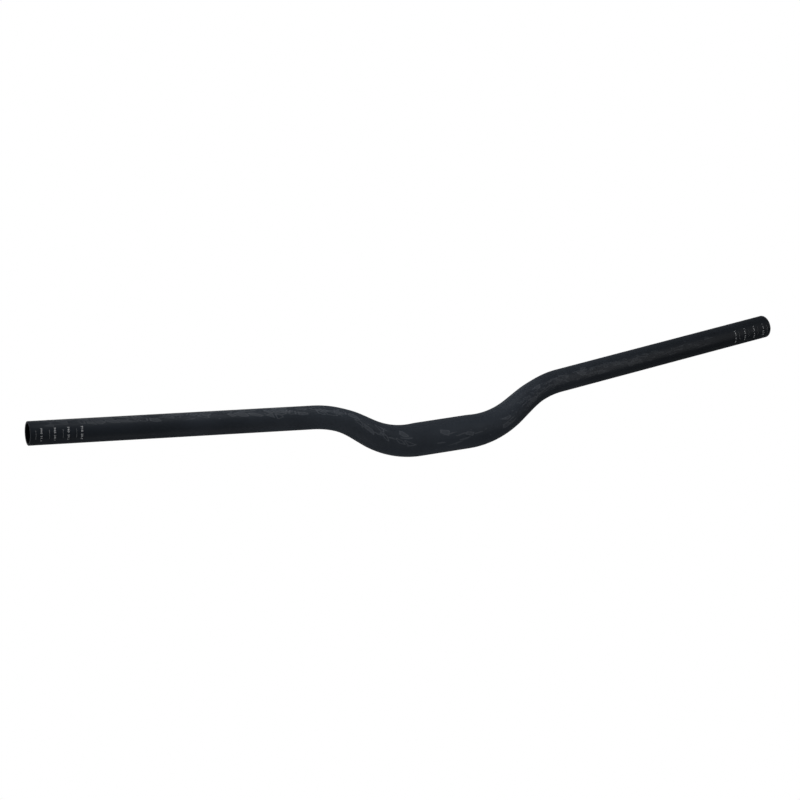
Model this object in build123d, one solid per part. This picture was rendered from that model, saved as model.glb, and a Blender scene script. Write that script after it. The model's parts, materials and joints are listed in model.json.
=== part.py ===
"""Riser handlebar for a mountain bike: one butted, swaged and bent aluminium tube.

The frame sits at the middle of the stem clamp zone. +X runs along the clamp zone to one grip,
+Y points back towards the rider, the way the grips sweep, and +Z is up. Millimetres and degrees.
"""

from build123d import *
import os
from math import acos, degrees, radians, tan

# Overall reach, between the centres of the two cut ends
bar_width = 800.0

# Round sections: the stem clamps the middle, grips and levers slide on the ends
clamp_diameter = 31.8
clamp_length = 50.0
grip_diameter = 22.2

# Walls: butted, thicker under the stem than under the hands
clamp_wall = 2.4
grip_wall = 2.0

# Taper from the clamp zone's size to the grip's, measured along the centre line
taper_length = 92.0
taper_corner = 4.0

# Bends of each arm, from the clamp zone outwards: straight run, bend up, straight rise, bend level
clamp_run_out = 6.0
bend_radius = 90.0
rise_angle = 32.0
rise_straight = 13.6

# Direction of the grips
back_sweep = 8.0
up_sweep = 4.0

# Cut ends: turned corner outside, deburred edge inside
rim_round = 0.5
bore_chamfer = 0.3

# Spacing of the sections that the bent, tapered arm is drawn through
section_spacing = 6.0

# Worked out from the driving sizes
clamp_half = clamp_length / 2
rise_direction = Vector(1, 0, 0).rotate(Axis.Y, -rise_angle)
grip_direction = Vector(1, tan(radians(back_sweep)), tan(radians(up_sweep))).normalized()
sweep_turn = degrees(acos(rise_direction.dot(grip_direction)))


def draw_centre_line():
    """Straight runs joined by tangent bends, from the middle of the bar to the end of the +X grip."""
    lower_setback = bend_radius * tan(radians(rise_angle / 2))
    upper_setback = bend_radius * tan(radians(sweep_turn / 2))
    lower_corner = Vector(clamp_half + clamp_run_out + lower_setback, 0, 0)
    upper_corner = lower_corner + rise_direction * (lower_setback + rise_straight + upper_setback)
    reach = (bar_width / 2 - upper_corner.X) / grip_direction.X
    tip = upper_corner + grip_direction * reach
    return FilletPolyline((0, 0, 0), lower_corner, upper_corner, tip, radius=bend_radius)


def taper_share(distance):
    """Share of the taper done at a distance along the centre line: a straight ramp, corners rounded."""

    def rounded_corner(past):
        if abs(past) < taper_corner:
            return (past + taper_corner) ** 2 / (4 * taper_corner)
        return max(past, 0.0)

    ramp_start = clamp_half + taper_corner
    ramp_length = taper_length - 2 * taper_corner
    past_start = distance - ramp_start
    return (rounded_corner(past_start) - rounded_corner(past_start - ramp_length)) / ramp_length


centre_line = draw_centre_line()
straight_grip = centre_line.edges()[-1].length
arm_end = max(centre_line.length - straight_grip, clamp_half + taper_length)
grip_length = centre_line.length - arm_end


def draw_section(distance, clamp_radius, grip_radius):
    """Round section square to the centre line, with its seam always on the same side."""
    radius = clamp_radius + (grip_radius - clamp_radius) * taper_share(distance)
    middle = centre_line.position_at(distance, position_mode=PositionMode.LENGTH)
    heading = centre_line.tangent_at(distance, position_mode=PositionMode.LENGTH)
    across = Vector(0, 0, 1).cross(heading)
    return Plane(middle, x_dir=across, z_dir=heading) * Circle(radius)


def draw_bar(clamp_radius, grip_radius):
    """Solid bar on the whole centre line: clamp cylinder, bent and tapered arms, grip cylinders."""
    steps = round((arm_end - clamp_half) / section_spacing)
    stations = [clamp_half + (arm_end - clamp_half) * i / steps for i in range(steps + 1)]
    sections = [draw_section(station, clamp_radius, grip_radius) for station in stations]
    arm = loft(sections) + extrude(sections[-1], grip_length)
    clamp = Plane.YZ * Cylinder(clamp_radius, clamp_length)
    return clamp + arm + mirror(arm, about=Plane.YZ)


outside = draw_bar(clamp_diameter / 2, grip_diameter / 2)
inside = draw_bar(clamp_diameter / 2 - clamp_wall, grip_diameter / 2 - grip_wall)
handlebar = outside - inside

# The only flat faces are the two cut ends
outer_rims = [face.outer_wire().edge() for face in handlebar.faces().filter_by(GeomType.PLANE)]
handlebar = fillet(outer_rims, rim_round)
inner_rims = [face.inner_wires()[0].edge() for face in handlebar.faces().filter_by(GeomType.PLANE)]
handlebar = chamfer(inner_rims, bore_chamfer)
handlebar.label = "handlebar"

os.makedirs("parts", exist_ok=True)
export_step(handlebar, "parts/handlebar.step")

tip = centre_line @ 1
print(f"tip at {tip.X:.3f}, {tip.Y:.3f}, {tip.Z:.3f}; straight grip {grip_length:.3f} long")
print(f"developed half length {centre_line.length:.3f}; upper bend turns {sweep_turn:.3f} degrees")
print(f"volume {handlebar.volume / 1000:.3f} cubic centimetres, {len(handlebar.solids())} solid")
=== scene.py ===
"""A riser handlebar for a mountain bike, dressed for its studio portrait.

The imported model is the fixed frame. The wall of the tube is drawn as a flat section, turned round and
bent along the centre line that the frame's mounts give, and the cut marks on the grips are wrapped on
the same line. Lengths are in metres and angles in radians, unless a name ends in _mm or _deg.
"""

import json
import logging
import math
from dataclasses import dataclass
from enum import Enum

import bmesh
import bpy
from mathutils import Matrix, Vector

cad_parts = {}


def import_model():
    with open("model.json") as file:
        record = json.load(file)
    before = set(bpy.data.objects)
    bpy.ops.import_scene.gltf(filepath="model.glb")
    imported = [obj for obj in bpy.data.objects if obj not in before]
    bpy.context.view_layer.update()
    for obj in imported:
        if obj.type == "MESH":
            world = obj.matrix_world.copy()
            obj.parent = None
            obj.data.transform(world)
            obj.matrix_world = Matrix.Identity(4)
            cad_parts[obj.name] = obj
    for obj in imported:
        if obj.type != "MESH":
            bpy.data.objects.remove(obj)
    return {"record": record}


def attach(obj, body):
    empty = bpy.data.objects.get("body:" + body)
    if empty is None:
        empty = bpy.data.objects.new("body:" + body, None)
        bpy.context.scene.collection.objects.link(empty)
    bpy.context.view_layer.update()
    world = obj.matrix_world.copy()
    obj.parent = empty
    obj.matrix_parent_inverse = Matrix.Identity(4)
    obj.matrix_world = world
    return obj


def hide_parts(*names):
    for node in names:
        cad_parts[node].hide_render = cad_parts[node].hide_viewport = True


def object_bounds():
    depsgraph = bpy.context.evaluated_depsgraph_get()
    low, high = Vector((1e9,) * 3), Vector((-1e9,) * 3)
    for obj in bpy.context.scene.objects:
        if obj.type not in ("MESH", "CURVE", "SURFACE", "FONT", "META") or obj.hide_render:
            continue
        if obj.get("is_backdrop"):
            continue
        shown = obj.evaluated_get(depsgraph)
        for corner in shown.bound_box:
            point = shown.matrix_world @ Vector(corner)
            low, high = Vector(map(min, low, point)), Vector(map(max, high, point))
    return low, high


LOG = logging.getLogger("handlebar")
MM = 0.001
INCH_MM = 25.4

Socket = bpy.types.NodeSocket
Feed = bpy.types.NodeSocket | float | int | bool | str | tuple | bpy.types.ID
Feeds = dict[str | int, Feed]
Colour = tuple[float, float, float]
Span = tuple[float, float]
# Pairs of a place along the bar, in millimetres from its middle, and the graph's height there
Graph = tuple[tuple[float, float], ...]


class End(Enum):
    """The two ends of the bar, valued by the sign of their distance from the middle."""

    LEFT = -1
    RIGHT = 1


def grey(level: float) -> tuple[float, float, float, float]:
    """Returns an opaque grey."""
    return (level, level, level, 1.0)


class NodeSheet:
    """A node tree that is being drawn: adds nodes, fills their sockets and joins them."""

    def __init__(self, tree: bpy.types.NodeTree) -> None:
        """Starts on a tree."""
        self.tree = tree

    def feed(self, socket: Socket, value: Feed) -> None:
        """Joins an input to an output, or writes a plain value on it.

        Args:
            socket: the input.
            value: the output that it is joined to, or the plain value.
        """
        if isinstance(value, Socket):
            self.tree.links.new(value, socket)
        else:
            socket.default_value = value

    def node(self, kind: str, feeds: Feeds | None = None, **settings: object) -> bpy.types.Node:
        """Adds one node.

        Args:
            kind: Blender's name for the type of node.
            feeds: what goes in each input, by the input's name or its place.
            settings: the node's own properties.

        Returns:
            The new node.
        """
        made = self.tree.nodes.new(kind)
        for name, value in settings.items():
            setattr(made, name, value)
        for key, value in (feeds or {}).items():
            self.feed(made.inputs[key], value)
        return made

    def output(self, kind: str, feeds: Feeds | None = None, **settings: object) -> Socket:
        """Adds one node and returns its first output."""
        return self.node(kind, feeds, **settings).outputs[0]

    def math(self, operation: str, *values: Feed) -> Socket:
        """Adds a Math node and returns its result."""
        return self.output("ShaderNodeMath", dict(enumerate(values)), operation=operation)

    def vector(self, operation: str, *values: Feed) -> Socket:
        """Adds a Vector Math node and returns its result."""
        return self.output("ShaderNodeVectorMath", dict(enumerate(values)), operation=operation)

    def scaled(self, vector: Socket, scale: Feed) -> Socket:
        """Returns a vector times a number."""
        return self.output("ShaderNodeVectorMath", {0: vector, "Scale": scale}, operation="SCALE")

    def split(self, vector: Socket) -> tuple[Socket, ...]:
        """Returns the three parts of a vector."""
        return tuple(self.node("ShaderNodeSeparateXYZ", {0: vector}).outputs)

    def join(self, x: Feed, y: Feed, z: Feed) -> Socket:
        """Returns a vector made of three parts."""
        return self.output("ShaderNodeCombineXYZ", {0: x, 1: y, 2: z})


class GeometryTree(NodeSheet):
    """A Geometry Nodes tree with geometry in, named inputs for its sizes, and geometry out."""

    def __init__(self, name: str, inputs: dict[str, str]) -> None:
        """Makes the tree.

        Args:
            name: the tree's name.
            inputs: the type of socket for each named input.
        """
        super().__init__(bpy.data.node_groups.new(name, "GeometryNodeTree"))
        sockets = self.tree.interface
        sockets.new_socket("Geometry", in_out="INPUT", socket_type="NodeSocketGeometry")
        for label, kind in inputs.items():
            sockets.new_socket(label, in_out="INPUT", socket_type=kind)
        sockets.new_socket("Geometry", in_out="OUTPUT", socket_type="NodeSocketGeometry")
        self.given = self.node("NodeGroupInput").outputs
        self.result = self.node("NodeGroupOutput").inputs[0]

    def run(self, name: str, source: bpy.types.Mesh, values: dict[str, object]) -> bpy.types.Object:
        """Runs the tree on a mesh and keeps the result as a plain mesh.

        Args:
            name: the new piece's name.
            source: the mesh that goes into the tree.
            values: a value for each of the tree's named inputs.

        Returns:
            The piece, at the origin, with no modifier left on it.
        """
        piece = bpy.data.objects.new(name, source)
        bpy.context.scene.collection.objects.link(piece)
        modifier = piece.modifiers.new(name, "NODES")
        modifier.node_group = self.tree
        for item in self.tree.interface.items_tree:
            if item.in_out == "INPUT" and item.name in values:
                modifier[item.identifier] = values[item.name]
        depsgraph = bpy.context.evaluated_depsgraph_get()
        evaluated = piece.evaluated_get(depsgraph)
        made = bpy.data.meshes.new_from_object(
            evaluated, preserve_all_data_layers=True, depsgraph=depsgraph,
        )
        # Mesh primitives bring an empty material slot with them, which is dropped
        for slot in reversed(range(len(made.materials))):
            if made.materials[slot] is None:
                made.materials.pop(index=slot)
        piece.modifiers.remove(modifier)
        piece.data = made
        made.name = name
        bpy.data.meshes.remove(source)
        return piece


@dataclass(frozen=True)
class BarSizes:
    """Sizes of the bent tube. Its mounts in the frame give most of them."""

    clamp_radius: float
    clamp_half: float
    grip_radius: float
    bore_radius: float
    tip: Vector
    grip_heading: Vector
    rise_angle: float = math.radians(32.0)
    bend_radius: float = 90.0 * MM
    clamp_wall: float = 2.4 * MM
    taper_length: float = 92.0 * MM
    taper_corner: float = 4.0 * MM
    rim_round: float = 0.5 * MM
    bore_chamfer: float = 0.3 * MM

    @classmethod
    def from_record(cls, record: dict, mount_depth: float = 5.0 * MM) -> "BarSizes":
        """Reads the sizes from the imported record.

        Args:
            record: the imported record.
            mount_depth: how far the grip's mount stands inside the cut end.

        Returns:
            The bar's sizes.
        """
        mounts = {mount["name"]: mount for mount in record["mounts"]}
        clamp = mounts["stem_clamp"]["dims"]
        grip = mounts["grip_right"]
        heading = Vector(grip["axis"]).normalized()
        return cls(
            clamp_radius=clamp["r_mm"] * MM,
            clamp_half=clamp["length_mm"] * MM / 2,
            grip_radius=grip["dims"]["r_mm"] * MM,
            bore_radius=mounts["plug_right"]["dims"]["r_mm"] * MM,
            tip=Vector(grip["pos_m"]) + heading * mount_depth,
            grip_heading=heading,
        )

    @property
    def upper_corner(self) -> Vector:
        """Where the grip's axis, carried on inwards, meets the upright plane of the clamp zone."""
        return self.tip - self.grip_heading * (self.tip.y / self.grip_heading.y)

    @property
    def lower_corner(self) -> Vector:
        """Where the rise, carried on downwards, meets the axis of the clamp zone."""
        upper = self.upper_corner
        return Vector((upper.x - upper.z / math.tan(self.rise_angle), 0.0, 0.0))

    @property
    def corners(self) -> list[Vector]:
        """The right half of the route, from the middle of the bar to the cut end."""
        return [Vector(), self.lower_corner, self.upper_corner, self.tip]

    @property
    def half_length(self) -> float:
        """Works out the length of the bent centre line.

        Returns:
            The length from the middle of the bar to the cut end.
        """
        route = self.corners
        runs = [after - before for before, after in zip(route, route[1:])]
        saved = 0.0
        for before, after in zip(runs, runs[1:]):
            turn = before.angle(after)
            saved += self.bend_radius * (2 * math.tan(turn / 2) - turn)
        return sum(run.length for run in runs) - saved

    @property
    def taper_end(self) -> float:
        """Distance along the bar at which the taper reaches the grip's size."""
        return self.clamp_half + self.taper_length

    def taper_share(self, distance: float) -> float:
        """Works out how far the taper has come: a straight ramp with rounded corners.

        Args:
            distance: distance along the bar from its middle.

        Returns:
            The share of the taper that is done there, from 0 to 1.
        """

        def rounded_corner(past: float) -> float:
            """Draws a ramp that starts at 0, with its corner rounded.

            Args:
                past: distance past the corner.

            Returns:
                The ramp's height there.
            """
            if abs(past) < self.taper_corner:
                return (past + self.taper_corner) ** 2 / (4 * self.taper_corner)
            return max(past, 0.0)

        past_start = distance - self.clamp_half - self.taper_corner
        ramp = self.taper_length - 2 * self.taper_corner
        return (rounded_corner(past_start) - rounded_corner(past_start - ramp)) / ramp

    def outer_radius(self, distance: float) -> float:
        """Returns the outside radius at a distance from the middle."""
        return self.clamp_radius + (self.grip_radius - self.clamp_radius) * self.taper_share(distance)

    def inner_radius(self, distance: float) -> float:
        """Returns the inside radius at a distance from the middle."""
        clamp_bore = self.clamp_radius - self.clamp_wall
        return clamp_bore + (self.bore_radius - clamp_bore) * self.taper_share(distance)


class BarWrap:
    """The bent centre line, and the node group that wraps flat work round it.

    Flat work has the distance along the bar from its middle as X, the angle up from the front as Y and
    the distance from the centre line as Z.
    """

    def __init__(self, sizes: BarSizes, points_in_bend: int = 96) -> None:
        """Draws the route and builds the node group.

        Args:
            sizes: the bar's sizes.
            points_in_bend: how many points each bend is drawn with.
        """
        self.route = self._draw_route(sizes)
        self.group = self._build_group(sizes.bend_radius, points_in_bend)

    @staticmethod
    def _draw_route(sizes: BarSizes) -> bpy.types.Object:
        """Draws the straight runs of the centre line, with sharp corners.

        Args:
            sizes: the bar's sizes.

        Returns:
            A curve from cut end to cut end, which isn't linked to the scene.
        """
        right = sizes.corners[1:]
        left = [Vector((-corner.x, corner.y, corner.z)) for corner in reversed(right)]
        curve = bpy.data.curves.new("centre_line", "CURVE")
        curve.dimensions = "3D"
        spline = curve.splines.new("POLY")
        spline.points.add(len(left + right) - 1)
        for point, corner in zip(spline.points, left + right):
            point.co = (*corner, 1.0)
        return bpy.data.objects.new("centre_line", curve)

    @staticmethod
    def _build_group(bend_radius: float, points_in_bend: int) -> bpy.types.NodeTree:
        """Builds the node group that bends flat work along the route.

        Args:
            bend_radius: radius of every bend on the centre line.
            points_in_bend: how many points each bend is drawn with.

        Returns:
            The node group.
        """
        sheet = GeometryTree("wrap_on_bar", {"Route": "NodeSocketObject"})
        route = sheet.node("GeometryNodeObjectInfo", {"Object": sheet.given["Route"]})
        bends = {"Curve": route.outputs["Geometry"], "Count": points_in_bend, "Radius": bend_radius}
        bent = sheet.output("GeometryNodeFilletCurve", bends, mode="POLY")
        line = sheet.output("GeometryNodeSetCurveNormal", {"Curve": bent}, mode="Z_UP")
        along, angle, radius = sheet.split(sheet.output("GeometryNodeInputPosition"))
        half = sheet.math("MULTIPLY", sheet.output("GeometryNodeCurveLength", {"Curve": line}), 0.5)
        spot = {"Curves": line, "Length": sheet.math("ADD", along, half)}
        found = sheet.node("GeometryNodeSampleCurve", spot, mode="LENGTH", use_all_curves=True).outputs
        front = found["Normal"]
        up = sheet.vector("CROSS_PRODUCT", front, found["Tangent"])
        forward = sheet.scaled(front, sheet.math("MULTIPLY", sheet.math("COSINE", angle), radius))
        upward = sheet.scaled(up, sheet.math("MULTIPLY", sheet.math("SINE", angle), radius))
        place = sheet.vector("ADD", found["Position"], sheet.vector("ADD", forward, upward))
        moved = {"Geometry": sheet.given["Geometry"], "Position": place}
        sheet.feed(sheet.result, sheet.output("GeometryNodeSetPosition", moved))
        return sheet.tree

    def apply(self, sheet: GeometryTree, flat: Socket) -> Socket:
        """Wraps the flat work of another tree, and returns the wrapped geometry."""
        feeds = {"Geometry": flat, "Route": self.route}
        return sheet.output("GeometryNodeGroup", feeds, node_tree=self.group)


class FinishSheet(NodeSheet):
    """The node tree of a new material, with the shared ways to vary a finish."""

    def __init__(self, name: str) -> None:
        """Makes the material, with its shader and Object coordinates ready.

        Args:
            name: the material's name.
        """
        self.material = bpy.data.materials.new(name)
        self.material.use_nodes = True
        super().__init__(self.material.node_tree)
        self.shader = self.tree.nodes["Principled BSDF"].inputs
        self.object_place = self.node("ShaderNodeTexCoord").outputs["Object"]

    def shade(self, feeds: Feeds) -> None:
        """Feeds inputs of the shader, by their names."""
        for name, value in feeds.items():
            self.feed(self.shader[name], value)

    def noise(self, per_metre: float, detail: float, roughness: float = 0.55) -> Socket:
        """Returns soft noise from 0 to 1."""
        feeds = {
            "Vector": self.object_place, "Scale": per_metre, "Detail": detail, "Roughness": roughness,
        }
        return self.output("ShaderNodeTexNoise", feeds)

    def spread(self, value: Feed, span: Span) -> Socket:
        """Returns a value stretched so that the span's low end becomes 0 and its high end 1."""
        feeds = {"Value": value, "From Min": span[0], "From Max": span[1]}
        return self.output("ShaderNodeMapRange", feeds, interpolation_type="SMOOTHSTEP")

    def about(self, middle: Feed, noise: Feed, swing: float) -> Socket:
        """Returns a value that swings about its middle with a noise from 0 to 1."""
        return self.math("ADD", middle, self.math("MULTIPLY_ADD", noise, swing, -swing / 2))

    def mix(self, share: Feed, first: Feed, second: Feed) -> Socket:
        """Blends two colours.

        Args:
            share: how much of the second colour shows, from 0 to 1.
            first: the colour at 0.
            second: the colour at 1.

        Returns:
            The blended colour.
        """
        first, second = ((*c, 1.0) if isinstance(c, tuple) else c for c in (first, second))
        # The node lists its two colours after its numbers and vectors
        blend = self.node("ShaderNodeMix", {0: share, 6: first, 7: second}, data_type="RGBA")
        return blend.outputs[2]

    def bump(self, height: Feed, depth: float) -> Socket:
        """Returns the normal of a relief whose height of 1 is a depth in metres."""
        return self.output("ShaderNodeBump", {"Strength": 1.0, "Distance": depth, "Height": height})

    def graph(self, value: Feed, points: Graph, half_range: float) -> Socket:
        """Looks a value up on a graph of straight lines.

        Args:
            value: what to look up, from minus to plus half_range.
            points: the graph's corners, with heights from 0 to 1.
            half_range: half of the graph's length in metres.

        Returns:
            The height of the graph.
        """
        chart = self.node("ShaderNodeFloatCurve")
        curve = chart.mapping.curves[0]
        places = [(place_mm * MM / (2 * half_range) + 0.5, height) for place_mm, height in points]
        curve.points[0].location = (0.0, places[0][1])
        curve.points[1].location = (1.0, places[-1][1])
        for place in places:
            curve.points.new(*place)
        for point in curve.points:
            point.handle_type = "VECTOR"
        chart.mapping.update()
        self.feed(chart.inputs["Value"], self.math("MULTIPLY_ADD", value, 0.5 / half_range, 0.5))
        return chart.outputs[0]


@dataclass(frozen=True)
class Splinters:
    """One layer of a plain splinter print: slanted angular flecks, some of them only outlined.

    The flecks are cells of a length and a height. The gap round a fleck, its outline and its slant are
    shares of a cell. The density is the share of the cells that are printed, along the bar, and filled
    is the share of those that are filled in.
    """

    length: float
    height: float
    slant: float
    gap: float
    outline: float
    filled: float
    strength: float
    band_half: float
    density: Graph
    fill_strength: float = 0.6
    unevenness: float = 0.9

    def draw(self, sheet: FinishSheet, sizes: BarSizes, along: Feed, across: Feed) -> Socket:
        """Draws the flecks, each a whole cell of a slanted cell pattern.

        Args:
            sheet: the material's node sheet.
            sizes: the bar's sizes.
            along: distance along the bar from its middle.
            across: distance round the bar from the middle of the printed band.

        Returns:
            How much ink lies there: 0 off the flecks, and the layer's strength on an outline.
        """
        row = sheet.math("MULTIPLY", across, 1.0 / self.height)
        upright_column = sheet.math("MULTIPLY", along, 1.0 / self.length)
        column = sheet.math("MULTIPLY_ADD", row, self.slant, upright_column)
        cell = self._cells(sheet, column, row, "F1")
        edge = self._cells(sheet, column, row, "DISTANCE_TO_EDGE")[0]
        cell_column, cell_row, _ = sheet.split(cell["Position"])
        upright = sheet.math("SUBTRACT", cell_column, sheet.math("MULTIPLY", cell_row, self.slant))
        cell_along = sheet.math("MULTIPLY", upright, self.length)
        chance, fill_chance, _ = sheet.split(cell["Color"])
        density = sheet.graph(cell_along, self.density, sizes.half_length)
        kept = sheet.math("LESS_THAN", chance, density)
        rows_off = sheet.math("ABSOLUTE", cell_row)
        in_band = sheet.math("LESS_THAN", rows_off, self.band_half / self.height)
        clear = sheet.math("GREATER_THAN", edge, self.gap)
        outlined = sheet.math("LESS_THAN", edge, self.gap + self.outline)
        filled = sheet.math("LESS_THAN", fill_chance, self.filled)
        solid = sheet.math("MULTIPLY", filled, self.fill_strength)
        body = sheet.math("MULTIPLY", sheet.math("MAXIMUM", outlined, solid), clear)
        shown = sheet.math("MULTIPLY", kept, in_band)
        return sheet.math("MULTIPLY", sheet.math("MULTIPLY", body, shown), self.strength)

    def _cells(
        self, sheet: FinishSheet, column: Feed, row: Feed, feature: str,
    ) -> bpy.types.bpy_prop_collection:
        """Adds a flat cell pattern and returns its outputs."""
        feeds = {"Vector": sheet.join(column, row, 0.0), "Scale": 1.0, "Randomness": self.unevenness}
        return sheet.node(
            "ShaderNodeTexVoronoi", feeds, voronoi_dimensions="2D", feature=feature,
        ).outputs


@dataclass(frozen=True)
class MatteBlack:
    """Blasted black skin under a thin matte lacquer, with a tone-on-tone print, and a black bore
    painted darker than the skin as painted shade in the hollow.

    The mesh says which part is which: its inside attribute is 0 on the outer skin, face_flag on the
    two cut faces and 1 in the bore.
    """

    name: str = "matte_black"
    chart: str = "bar_chart"
    inside: str = "inside"
    deep: Colour = (0.0141, 0.0170, 0.0216)
    lifted: Colour = (0.0172, 0.0208, 0.0264)
    print_grey: Colour = (0.0460, 0.0510, 0.0594)
    cut_face: Colour = (0.0400, 0.0430, 0.0480)
    # The bore's own black, darkened below the skin's as painted shade in the tube's hollow
    bore_black_and_shade: Colour = (0.0120, 0.0126, 0.0150)
    face_flag: float = 0.5
    roughness: float = 0.62
    grain_roughness: float = 0.16
    print_smoothing: float = 0.10
    lacquer: float = 0.055
    lacquer_roughness: float = 0.40
    grain_gloss: float = 0.50
    mottle_gloss: float = 0.40
    print_gloss: float = 0.35
    grain_per_metre: float = 1500.0
    grain_detail: float = 2.0
    grain_depth: float = 0.010 * MM
    grain_in_print: Span = (0.05, 0.55)
    print_height: float = 0.8
    mottle_per_metre: float = 22.0
    mottle_detail: float = 4.0
    mottle_span: Span = (0.35, 0.65)
    print_path_deg: Graph = (
        (-345.0, 56.0), (-200.0, 52.0), (-130.0, 38.0), (-80.0, 14.0), (0.0, -8.0),
        (60.0, 4.0), (150.0, 14.0), (345.0, 12.0),
    )
    layers: tuple[Splinters, ...] = (
        Splinters(
            length=9.5 * MM, height=4.0 * MM, slant=0.60, gap=0.07, outline=0.13, filled=0.55,
            strength=0.70, band_half=4.6 * MM,
            density=(
                (-398.0, 0.0), (-385.0, 0.60), (-352.0, 0.82), (-280.0, 0.72), (-140.0, 0.62),
                (-80.0, 0.42), (-30.0, 0.16), (60.0, 0.16), (110.0, 0.20), (160.0, 0.12), (345.0, 0.0),
            ),
        ),
        Splinters(
            length=5.5 * MM, height=2.2 * MM, slant=0.50, gap=0.08, outline=0.20, filled=0.80,
            strength=0.55, band_half=4.0 * MM,
            density=((100.0, 0.0), (140.0, 0.45), (240.0, 0.45), (300.0, 0.25), (345.0, 0.0)),
        ),
        Splinters(
            length=2.2 * MM, height=1.2 * MM, slant=0.40, gap=0.10, outline=0.60, filled=1.0,
            strength=0.45, band_half=5.5 * MM,
            density=(
                (-348.0, 0.0), (-330.0, 0.04), (-140.0, 0.05), (-60.0, 0.02),
                (60.0, 0.02), (95.0, 0.40), (125.0, 0.36), (150.0, 0.05), (345.0, 0.0),
            ),
        ),
        Splinters(
            length=12.0 * MM, height=1.5 * MM, slant=-0.70, gap=0.14, outline=0.60, filled=1.0,
            strength=0.60, band_half=4.5 * MM,
            density=(
                (-348.0, 0.0), (-200.0, 0.10), (-100.0, 0.20), (0.0, 0.20),
                (100.0, 0.16), (160.0, 0.16), (280.0, 0.14), (345.0, 0.0),
            ),
        ),
    )

    def make(self, sizes: BarSizes) -> bpy.types.Material:
        """Builds the material.

        Args:
            sizes: the bar's sizes, for the reach of the print.

        Returns:
            The material, which reads the bar's own chart and Object coordinates.
        """
        sheet = FinishSheet(self.name)
        along, angle, _ = sheet.split(sheet.output("ShaderNodeUVMap", uv_map=self.chart))
        inside = sheet.node("ShaderNodeAttribute", attribute_name=self.inside).outputs["Fac"]
        mottle = sheet.noise(self.mottle_per_metre, self.mottle_detail)
        grain = sheet.noise(self.grain_per_metre, self.grain_detail)
        printed = self._printed(sheet, sizes, along, angle, inside)

        skin = sheet.mix(sheet.spread(mottle, self.mottle_span), self.deep, self.lifted)
        speckled = sheet.math("MULTIPLY", printed, sheet.spread(grain, self.grain_in_print))
        inked = sheet.mix(speckled, skin, self.print_grey)
        outside = sheet.mix(sheet.spread(inside, (0.0, self.face_flag)), inked, self.cut_face)
        # In the bore the colour goes to a darker black: painted shade inside the tube
        colour = sheet.mix(sheet.spread(inside, (self.face_flag, 1.0)), outside, self.bore_black_and_shade)
        relief = sheet.math("MULTIPLY_ADD", printed, self.print_height, grain)
        normal = sheet.bump(relief, self.grain_depth)
        sheet.shade({
            "Base Color": colour,
            "Roughness": self._roughness(sheet, grain, printed),
            "Specular IOR Level": 0.0,
            "Coat Weight": self._gloss(sheet, mottle, grain, printed),
            "Coat Roughness": self.lacquer_roughness,
            "Normal": normal,
            "Coat Normal": normal,
        })
        return sheet.material

    def _roughness(self, sheet: FinishSheet, grain: Feed, printed: Feed) -> Socket:
        """Returns the roughness under the lacquer: uneven from the blasting, and less on the print."""
        bare = sheet.about(self.roughness, grain, self.grain_roughness)
        return sheet.math("MULTIPLY_ADD", printed, -self.print_smoothing, bare)

    def _gloss(self, sheet: FinishSheet, mottle: Feed, grain: Feed, printed: Feed) -> Socket:
        """Draws how much lacquer shines: uneven from the blasting, and more on the print.

        Args:
            sheet: the material's node sheet.
            mottle: slow noise, from 0 to 1.
            grain: fine noise, from 0 to 1.
            printed: how much ink lies there, from 0 to 1.

        Returns:
            The lacquer's weight, which is self.lacquer on the mean of the bare skin.
        """
        speckle = sheet.about(1.0, grain, self.grain_gloss)
        uneven = sheet.about(speckle, mottle, self.mottle_gloss)
        share = sheet.math("MULTIPLY_ADD", printed, self.print_gloss, uneven)
        return sheet.math("MULTIPLY", share, self.lacquer)

    def _printed(
        self, sheet: FinishSheet, sizes: BarSizes, along: Feed, angle: Feed, inside: Feed,
    ) -> Socket:
        """Draws where the print lies.

        Args:
            sheet: the material's node sheet.
            sizes: the bar's sizes.
            along: distance along the bar from its middle.
            angle: angle up from the front.
            inside: 0 on the outer skin, and more on the cut faces and in the bore.

        Returns:
            How much ink lies there, from 0 to 1.
        """
        # The graph holds heights from 0 to 1, which stand for -90 to 90 degrees
        path = tuple((place_mm, turn_deg / 180.0 + 0.5) for place_mm, turn_deg in self.print_path_deg)
        share = sheet.graph(along, path, sizes.half_length)
        middle = sheet.math("MULTIPLY_ADD", share, math.pi, -math.pi / 2)
        across = sheet.math("MULTIPLY", sheet.math("SUBTRACT", angle, middle), sizes.grip_radius)
        together = inside
        for layer in self.layers:
            together = sheet.math("MAXIMUM", together, layer.draw(sheet, sizes, along, across))
        return sheet.math("SUBTRACT", together, inside)


@dataclass(frozen=True)
class GreyInk:
    """Pale grey printing ink of the cut marks, thin enough for the black to grin through."""

    name: str = "grey_ink"
    full: Colour = (0.5000, 0.5120, 0.5300)
    thin: Colour = (0.3000, 0.3070, 0.3180)
    cover_span: Span = (0.30, 0.60)
    roughness: float = 0.50
    speckle_roughness: float = 0.15
    specular: float = 0.02
    speckle_per_metre: float = 2600.0
    speckle_detail: float = 3.0
    speckle_depth: float = 0.004 * MM

    def make(self) -> bpy.types.Material:
        """Builds the material.

        Returns:
            The material, which reads Object coordinates.
        """
        sheet = FinishSheet(self.name)
        speckle = sheet.noise(self.speckle_per_metre, self.speckle_detail)
        sheet.shade({
            "Base Color": sheet.mix(sheet.spread(speckle, self.cover_span), self.thin, self.full),
            "Roughness": sheet.about(self.roughness, speckle, self.speckle_roughness),
            "Specular IOR Level": self.specular,
            "Normal": sheet.bump(speckle, self.speckle_depth),
        })
        return sheet.material


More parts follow.
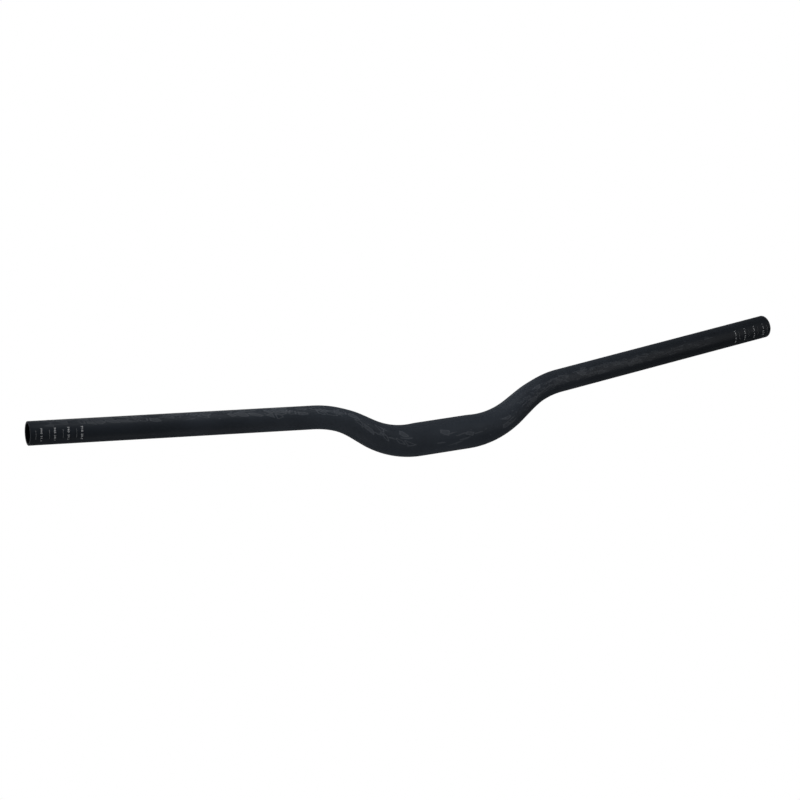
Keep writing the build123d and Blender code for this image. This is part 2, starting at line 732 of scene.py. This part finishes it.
@dataclass
class TubeSkin:
    """The tube: one wall, swaged from the clamp's size to the grip's, with two bends on each side."""

    sizes: BarSizes
    wrap: BarWrap
    finish: MatteBlack
    around: int = 128
    seam: float = math.radians(-150.0)
    clamp_step: float = 5.0 * MM
    arm_step: float = 1.5 * MM
    grip_step: float = 9.0 * MM
    bend_past_taper: float = 30.0 * MM
    rim_steps: int = 6
    weld_distance: float = 0.01 * MM
    sharp_edge: float = math.radians(30.0)

    def build(self) -> bpy.types.Object:
        """Builds and dresses the tube.

        Returns:
            The tube, which stands for the frame's plain one.
        """
        inputs = {
            "Around": "NodeSocketInt", "Seam": "NodeSocketFloat", "Sharp Edge": "NodeSocketFloat",
            "Finish": "NodeSocketMaterial",
        }
        values = {
            "Around": self.around, "Seam": self.seam, "Sharp Edge": self.sharp_edge,
            "Finish": self.finish.make(self.sizes),
        }
        tree = GeometryTree("bent_tube", inputs)
        self._draw_tree(tree)
        tube = tree.run("bar_tube", self._draw_wall_section(), values)
        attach(tube, "root")
        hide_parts("handlebar")
        return tube

    @staticmethod
    def _spaced(start: float, end: float, step: float) -> list[float]:
        """Returns even distances from start up to, but not including, end."""
        count = max(1, round((end - start) / step))
        return [start + (end - start) * i / count for i in range(count)]

    def _draw_wall_section(self) -> bpy.types.Mesh:
        """Draws the section of the wall as a flat closed loop.

        Returns:
            A mesh of points in order round the wall: X is the distance along the bar, Y is the
            finish's inside attribute, and Z is the distance from the centre line.
        """
        sizes = self.sizes
        face_flag = self.finish.face_flag
        end = sizes.half_length
        round_start = end - sizes.rim_round
        bends_end = sizes.taper_end + self.bend_past_taper
        stations = self._spaced(0.0, sizes.clamp_half, self.clamp_step)
        stations += self._spaced(sizes.clamp_half, bends_end, self.arm_step)
        stations += self._spaced(bends_end, round_start, self.grip_step)
        half = [(station, 0.0, sizes.outer_radius(station)) for station in stations]
        for step in range(self.rim_steps + 1):
            turn = math.pi / 2 * step / self.rim_steps
            reach = round_start + sizes.rim_round * math.sin(turn)
            radius = sizes.grip_radius - sizes.rim_round * (1 - math.cos(turn))
            half.append((reach, face_flag if step == self.rim_steps else 0.0, radius))
        half.append((end, face_flag, sizes.bore_radius + sizes.bore_chamfer))
        half.append((end - sizes.bore_chamfer, 1.0, sizes.bore_radius))
        half += [(station, 1.0, sizes.inner_radius(station)) for station in reversed(stations)]
        mirrored = [(-distance, flag, radius) for distance, flag, radius in reversed(half[1:-1])]
        loop = half + mirrored
        mesh = bpy.data.meshes.new("wall_section")
        mesh.from_pydata(loop, [(i, (i + 1) % len(loop)) for i in range(len(loop))], [])
        return mesh

    def _draw_tree(self, tree: GeometryTree) -> None:
        """Draws the tree: a grid with a row for each point of the section is wrapped and closed.

        Args:
            tree: the empty tree.
        """
        given = tree.given
        counts = tree.node("GeometryNodeAttributeDomainSize", {0: given["Geometry"]})
        points = counts.outputs["Point Count"]
        rows = tree.math("ADD", points, 1)
        columns = tree.math("ADD", given["Around"], 1)
        size = {"Size X": 1.0, "Size Y": 1.0, "Vertices X": rows, "Vertices Y": columns}
        grid = tree.output("GeometryNodeMeshGrid", size)

        index = tree.output("GeometryNodeInputIndex")
        # Half a column more keeps the division clear of the whole numbers, where it could round down
        row = tree.math("FLOOR", tree.math("DIVIDE", tree.math("ADD", index, 0.5), columns))
        column = tree.math("SUBTRACT", index, tree.math("MULTIPLY", row, columns))
        position = tree.output("GeometryNodeInputPosition")
        point = tree.math("MODULO", row, points)
        lookup = {"Geometry": given["Geometry"], "Value": position, "Index": point}
        found = tree.output("GeometryNodeSampleIndex", lookup, data_type="FLOAT_VECTOR", domain="POINT")
        along, flag, radius = tree.split(found)
        turn = tree.math("DIVIDE", tree.math("MULTIPLY", column, math.tau), given["Around"])
        flat_place = tree.join(along, tree.math("ADD", turn, given["Seam"]), radius)

        store = "GeometryNodeStoreNamedAttribute"
        flags = {"Geometry": grid, "Name": self.finish.inside, "Value": flag}
        flagged = tree.output(store, flags, data_type="FLOAT", domain="POINT")
        flat = tree.output("GeometryNodeSetPosition", {"Geometry": flagged, "Position": flat_place})
        chart = {"Geometry": flat, "Name": self.finish.chart, "Value": position}
        charted = tree.output(store, chart, data_type="FLOAT2", domain="CORNER")
        bent = self.wrap.apply(tree, charted)

        weld = {"Geometry": bent, "Distance": self.weld_distance}
        closed = tree.output("GeometryNodeMergeByDistance", weld)
        smooth = tree.output("GeometryNodeSetShadeSmooth", {"Geometry": closed, "Shade Smooth": True})
        edge_angle = tree.output("GeometryNodeInputMeshEdgeAngle")
        sharp = tree.math("GREATER_THAN", edge_angle, given["Sharp Edge"])
        edges = {"Geometry": smooth, "Selection": sharp, "Shade Smooth": False}
        creased = tree.output("GeometryNodeSetShadeSmooth", edges, domain="EDGE")
        real = tree.output("GeometryNodeRealizeInstances", {"Geometry": creased})
        finish = {"Geometry": real, "Material": given["Finish"]}
        tree.feed(tree.result, tree.output("GeometryNodeSetMaterial", finish))


@dataclass
class CutMarks:
    """Cut marks of one end: a fine line every step, each with the width that a cut there leaves."""

    sizes: BarSizes
    wrap: BarWrap
    end: End
    ink: bpy.types.Material
    count: int = 4
    first: float = 5.0 * MM
    step: float = 12.5 * MM
    line_width: float = 0.12 * MM
    line_length: float = 8.2 * MM
    line_points: int = 25
    numeral_inset: float = 4.1 * MM
    numeral_height: float = 1.8 * MM
    numeral_spacing: float = 1.2
    numeral_weight: float = 0.04
    numeral_curve_steps: int = 3
    numeral_divisions: int = 2
    group_length: float = 5.4 * MM
    group_gap: float = 1.6 * MM
    middle_angle: float = math.radians(-4.5)
    ink_depth: float = 0.04 * MM
    sunk: float = 0.01 * MM

    @property
    def sign(self) -> int:
        """The sign of this end's distance from the middle."""
        return self.end.value

    @property
    def middle(self) -> float:
        """Distance round the grip of the middle of the marks."""
        return self.middle_angle * self.sizes.grip_radius

    def _along(self, from_end: float) -> float:
        """Returns the place along the bar of a distance from this cut end."""
        return self.sign * (self.sizes.half_length - from_end)

    def build(self) -> bpy.types.Object:
        """Builds and dresses the marks.

        Returns:
            The marks of this end, in one piece.
        """
        inputs = {
            "Count": "NodeSocketInt", "Start": "NodeSocketVector", "Step": "NodeSocketVector",
            "Line Size": "NodeSocketVector", "Grip Radius": "NodeSocketFloat",
            "Ink": "NodeSocketMaterial",
        }
        values = {
            "Count": self.count,
            "Start": (self._along(self.first), self.middle, self.ink_depth / 2),
            "Step": (-self.sign * self.step, 0.0, 0.0),
            "Line Size": (self.line_width, self.line_length, self.ink_depth),
            "Grip Radius": self.sizes.grip_radius,
            "Ink": self.ink,
        }
        name = f"cut_marks_{self.end.name.lower()}"
        tree = GeometryTree(name, inputs)
        self._draw_tree(tree)
        marks = tree.run(name, self._draw_numerals(), values)
        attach(marks, "root")
        return marks

    def _draw_tree(self, tree: GeometryTree) -> None:
        """Draws the tree: a row of lines, joined with the numerals, then wrapped on the grip.

        Args:
            tree: the empty tree.
        """
        given = tree.given
        divided = {"Mesh": given["Geometry"], "Level": self.numeral_divisions}
        numerals = tree.output("GeometryNodeSubdivideMesh", divided)
        row = {"Count": given["Count"], "Start Location": given["Start"], "Offset": given["Step"]}
        places = tree.output("GeometryNodeMeshLine", row, mode="OFFSET")
        box = {"Size": given["Line Size"], "Vertices Y": self.line_points}
        line = tree.output("GeometryNodeMeshCube", box)
        copies = tree.output("GeometryNodeInstanceOnPoints", {"Points": places, "Instance": line})
        lines = tree.output("GeometryNodeRealizeInstances", {"Geometry": copies})
        flat = tree.node("GeometryNodeJoinGeometry")
        for drawn in (numerals, lines):
            tree.feed(flat.inputs[0], drawn)
        along, around, lift = tree.split(tree.output("GeometryNodeInputPosition"))
        angle = tree.math("DIVIDE", around, given["Grip Radius"])
        foot = tree.math("SUBTRACT", given["Grip Radius"], self.sunk)
        place = tree.join(along, angle, tree.math("ADD", lift, foot))
        lifted = {"Geometry": flat.outputs[0], "Position": place}
        wrapped = self.wrap.apply(tree, tree.output("GeometryNodeSetPosition", lifted))
        real = tree.output("GeometryNodeRealizeInstances", {"Geometry": wrapped})
        finish = {"Geometry": real, "Material": given["Ink"]}
        tree.feed(tree.result, tree.output("GeometryNodeSetMaterial", finish))

    def _draw_numerals(self) -> bpy.types.Mesh:
        """Draws the numerals of every mark flat.

        Returns:
            One mesh of the widths that cuts at the marks leave, in millimetres and inches, with X along
            the bar, Y round it and Z out of it.
        """
        flat = bmesh.new()
        # The type runs round the bar, with its heads towards the middle
        turn = Matrix(((0, -self.sign, 0), (self.sign, 0, 0), (0, 0, 1))).to_4x4()
        for index in range(self.count):
            from_end = self.first + self.step * index
            width_mm = 2 * (self.sizes.tip.x - from_end) / MM
            foot = self._along(from_end + self.numeral_inset)
            for group, words in enumerate((f"{width_mm:.0f}", f"{width_mm / INCH_MM:.1f}")):
                centre = self.middle + self.sign * (group - 0.5) * (self.group_length + self.group_gap)
                self._add_words(flat, words, Matrix.Translation((foot, centre, 0.0)) @ turn)
        mesh = bpy.data.meshes.new("numerals")
        flat.to_mesh(mesh)
        flat.free()
        return mesh

    def _add_words(self, flat: bmesh.types.BMesh, words: str, place: Matrix) -> None:
        """Adds one group of numerals, set to its length and height and given the ink's depth.

        Args:
            flat: the mesh that takes them.
            words: the numerals.
            place: where they go.
        """
        group = self._set_type(words)
        low = Vector(min(v.co[i] for v in group.verts) for i in range(3))
        high = Vector(max(v.co[i] for v in group.verts) for i in range(3))
        size = high - low
        centred = Matrix.Translation((-(low.x + high.x) / 2, -low.y, 0.0))
        stretch = Matrix.Diagonal((self.group_length / size.x, self.numeral_height / size.y, 1.0, 1.0))
        raised = bmesh.ops.extrude_face_region(group, geom=group.faces[:])["geom"]
        tops = [item for item in raised if isinstance(item, bmesh.types.BMVert)]
        group.transform(stretch @ centred)
        bmesh.ops.translate(group, verts=tops, vec=(0.0, 0.0, self.ink_depth))
        bmesh.ops.recalc_face_normals(group, faces=group.faces)
        group.transform(place)
        piece = bpy.data.meshes.new(words)
        group.to_mesh(piece)
        group.free()
        flat.from_mesh(piece)
        bpy.data.meshes.remove(piece)

    def _set_type(self, words: str, weld_distance: float = 0.001) -> bmesh.types.BMesh:
        """Sets a group of numerals flat in the plain built-in type.

        Args:
            words: the numerals.
            weld_distance: how near two points are merged, where the type is 1 high.

        Returns:
            The faces of the numerals, in the type's own size.
        """
        text = bpy.data.curves.new(words, "FONT")
        text.body = words
        text.resolution_u = self.numeral_curve_steps
        text.space_character = self.numeral_spacing
        text.offset = self.numeral_weight
        holder = bpy.data.objects.new(words, text)
        outline = bpy.data.meshes.new_from_object(holder)
        bpy.data.objects.remove(holder)
        bpy.data.curves.remove(text)
        group = bmesh.new()
        group.from_mesh(outline)
        bpy.data.meshes.remove(outline)
        bmesh.ops.remove_doubles(group, verts=group.verts, dist=weld_distance)
        return group


@dataclass(frozen=True)
class Viewpoint:
    """Where the photograph was taken from, as angles round the bar's middle and a lens."""

    azimuth_deg: float = -27.905
    elevation_deg: float = 6.889
    roll_deg: float = -4.831
    distance: float = 3.0564
    slide_right: float = -0.04054
    slide_up: float = 0.03347
    lens_mm: float = 145.67

    def make(self) -> bpy.types.Object:
        """Makes the camera and gives it to the scene.

        Returns:
            The camera.
        """
        azimuth, elevation = math.radians(self.azimuth_deg), math.radians(self.elevation_deg)
        level = math.cos(elevation)
        back = Vector((math.sin(azimuth) * level, -math.cos(azimuth) * level, math.sin(elevation)))
        right = Vector((0.0, 0.0, 1.0)).cross(back).normalized()
        upright = Matrix((right, back.cross(right), back)).transposed()
        turned = upright @ Matrix.Rotation(math.radians(self.roll_deg), 3, "Z")
        offset = Vector((self.slide_right, self.slide_up, self.distance))
        camera = bpy.data.objects.new("camera", bpy.data.cameras.new("camera"))
        camera.data.lens = self.lens_mm
        camera.matrix_world = Matrix.Translation(turned @ offset) @ turned.to_4x4()
        bpy.context.scene.collection.objects.link(camera)
        bpy.context.scene.camera = camera
        return camera


@dataclass(frozen=True)
class Softbox:
    """One soft lamp. At a level of 1, it lights a white card that faces it at the bar as white.

    A gloss-only lamp shows in shiny surfaces, as a bright strip does, and lights nothing else.
    """

    name: str
    place: tuple[float, float, float]
    width: float
    height: float
    level: float
    gloss_only: bool = False

    def make(self, aim: Vector) -> bpy.types.Object:
        """Makes the lamp and turns it to a point.

        Args:
            aim: the point.

        Returns:
            The lamp.
        """
        place = Vector(self.place)
        lamp = bpy.data.lights.new(self.name, "AREA")
        lamp.shape = "RECTANGLE"
        lamp.size, lamp.size_y = self.width, self.height
        # Watts over pi squared and the distance squared are the level on a card that faces the lamp
        lamp.energy = self.level * math.pi ** 2 * (aim - place).length_squared
        holder = bpy.data.objects.new(self.name, lamp)
        turn = (aim - place).to_track_quat("-Z", "Y").to_matrix().to_4x4()
        holder.matrix_world = Matrix.Translation(place) @ turn
        holder.visible_camera = False
        holder.visible_diffuse = not self.gloss_only
        bpy.context.scene.collection.objects.link(holder)
        return holder


@dataclass(frozen=True)
class Studio:
    """A white room with soft lamps: white wherever it is looked at, and dim as a source of light.

    The floor has a card and a glow for the rays that look at it, and a dull card for the light that it
    bounces. Its reach is half of its width, and it fades out over the last part of that.
    """

    floor_z: float = -0.62
    floor_reach: float = 0.90
    floor_fade: float = 0.35
    floor_glow: float = 0.90
    floor_card: float = 0.22
    floor_bounce: float = 0.20
    room_light: float = 0.04
    softboxes: tuple[Softbox, ...] = (
        Softbox("top_softbox", place=(-0.10, -0.12, 0.45), width=0.40, height=0.40, level=1.35),
        Softbox("front_softbox", place=(0.0, -0.32, 0.06), width=0.25, height=0.25, level=0.17),
        Softbox("low_softbox", place=(-0.05, -0.24, -0.15), width=0.25, height=0.25, level=0.28),
        Softbox("under_softbox", place=(-0.20, -0.10, -0.35), width=0.25, height=0.25, level=0.31),
        Softbox("back_softbox", place=(0.0, 0.62, 0.40), width=0.50, height=0.40, level=0.50),
        Softbox("low_back_softbox", place=(0.0, 0.60, -0.30), width=0.50, height=0.40, level=0.22),
        Softbox("left_softbox", place=(-1.20, 0.20, 0.12), width=0.50, height=0.50, level=0.35),
        Softbox("right_softbox", place=(1.20, 0.20, 0.12), width=0.50, height=0.50, level=0.35),
        Softbox(
            "shine_strip", place=(0.85, -0.63, 0.22), width=0.25, height=1.00, level=0.73,
            gloss_only=True,
        ),
    )

    @staticmethod
    def _looked_at(sheet: NodeSheet) -> Socket:
        """Tells the rays that look at a surface from those that only light others from it.

        Args:
            sheet: the node sheet of the surface.

        Returns:
            1 for rays from the camera, a mirror or glass, and 0 for the rest.
        """
        path = sheet.node("ShaderNodeLightPath").outputs
        seen = sheet.math("MAXIMUM", path["Is Camera Ray"], path["Is Glossy Ray"])
        return sheet.math("MAXIMUM", seen, path["Is Transmission Ray"])

    def make_world(self) -> None:
        """Makes the room: white to look at, and a low even light."""
        world = bpy.data.worlds.new("studio")
        world.use_nodes = True
        world.node_tree.nodes.clear()
        sheet = NodeSheet(world.node_tree)
        white = sheet.output("ShaderNodeBackground", {"Color": grey(1.0), "Strength": 1.0})
        dim = sheet.output("ShaderNodeBackground", {"Color": grey(1.0), "Strength": self.room_light})
        mixed = sheet.output("ShaderNodeMixShader", {0: self._looked_at(sheet), 1: dim, 2: white})
        sheet.node("ShaderNodeOutputWorld", {"Surface": mixed})
        bpy.context.scene.world = world

    def make_floor(self) -> bpy.types.Object:
        """Makes the floor, which keeps the bar's shadow and fades into the room at its rim.

        Returns:
            The floor.
        """
        half = self.floor_reach
        corners = [(x * half, y * half, self.floor_z) for x, y in ((-1, -1), (1, -1), (1, 1), (-1, 1))]
        mesh = bpy.data.meshes.new("floor")
        mesh.from_pydata(corners, [], [range(len(corners))])
        mesh.materials.append(self._floor_card())
        floor = bpy.data.objects.new("floor", mesh)
        bpy.context.scene.collection.objects.link(floor)
        floor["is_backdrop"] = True
        return floor

    def _floor_card(self) -> bpy.types.Material:
        """Makes the floor's white card.

        Returns:
            The material, which reads Object coordinates.
        """
        sheet = FinishSheet("white_floor")
        card = sheet.output("ShaderNodeBsdfDiffuse", {"Color": grey(self.floor_card)})
        glow = sheet.output("ShaderNodeEmission", {"Color": grey(1.0), "Strength": self.floor_glow})
        bright = sheet.output("ShaderNodeAddShader", {0: card, 1: glow})
        dull = sheet.output("ShaderNodeBsdfDiffuse", {"Color": grey(self.floor_bounce)})
        solid = sheet.output("ShaderNodeMixShader", {0: self._looked_at(sheet), 1: dull, 2: bright})
        clear = sheet.output("ShaderNodeBsdfTransparent")
        x, y, _ = sheet.split(sheet.object_place)
        squares = sheet.math("MULTIPLY_ADD", x, x, sheet.math("MULTIPLY", y, y))
        from_middle = sheet.math("SQRT", squares)
        fade = sheet.spread(from_middle, (self.floor_reach - self.floor_fade, self.floor_reach))
        faded = sheet.output("ShaderNodeMixShader", {0: fade, 1: solid, 2: clear})
        sheet.feed(sheet.tree.nodes["Material Output"].inputs["Surface"], faded)
        sheet.tree.nodes.remove(sheet.tree.nodes["Principled BSDF"])
        return sheet.material

    def make(self, aim: Vector) -> None:
        """Makes the room, the floor and the lamps.

        Args:
            aim: the point that the lamps are turned to.
        """
        self.make_world()
        self.make_floor()
        for softbox in self.softboxes:
            softbox.make(aim)
        bpy.context.scene.view_settings.view_transform = "Standard"


def report_piece(piece: bpy.types.Object) -> None:
    """Reports one finished piece."""
    piece.data.calc_loop_triangles()
    LOG.info("%s: %d triangles", piece.name, len(piece.data.loop_triangles))


def main() -> None:
    """Builds the bar, its cut marks and the studio."""
    logging.basicConfig(level=logging.INFO, format="%(name)s: %(message)s")
    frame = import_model()
    cad_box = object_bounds()
    sizes = BarSizes.from_record(frame["record"])
    wrap = BarWrap(sizes)
    LOG.info("half length of the centre line: %.3f mm", sizes.half_length / MM)

    report_piece(TubeSkin(sizes, wrap, MatteBlack()).build())
    ink = GreyInk().make()
    for end in End:
        report_piece(CutMarks(sizes, wrap, end, ink).build())

    low, high = cad_box
    Studio().make(aim=(low + high) / 2)
    Viewpoint().make()


if __name__ == "__main__":
    main()
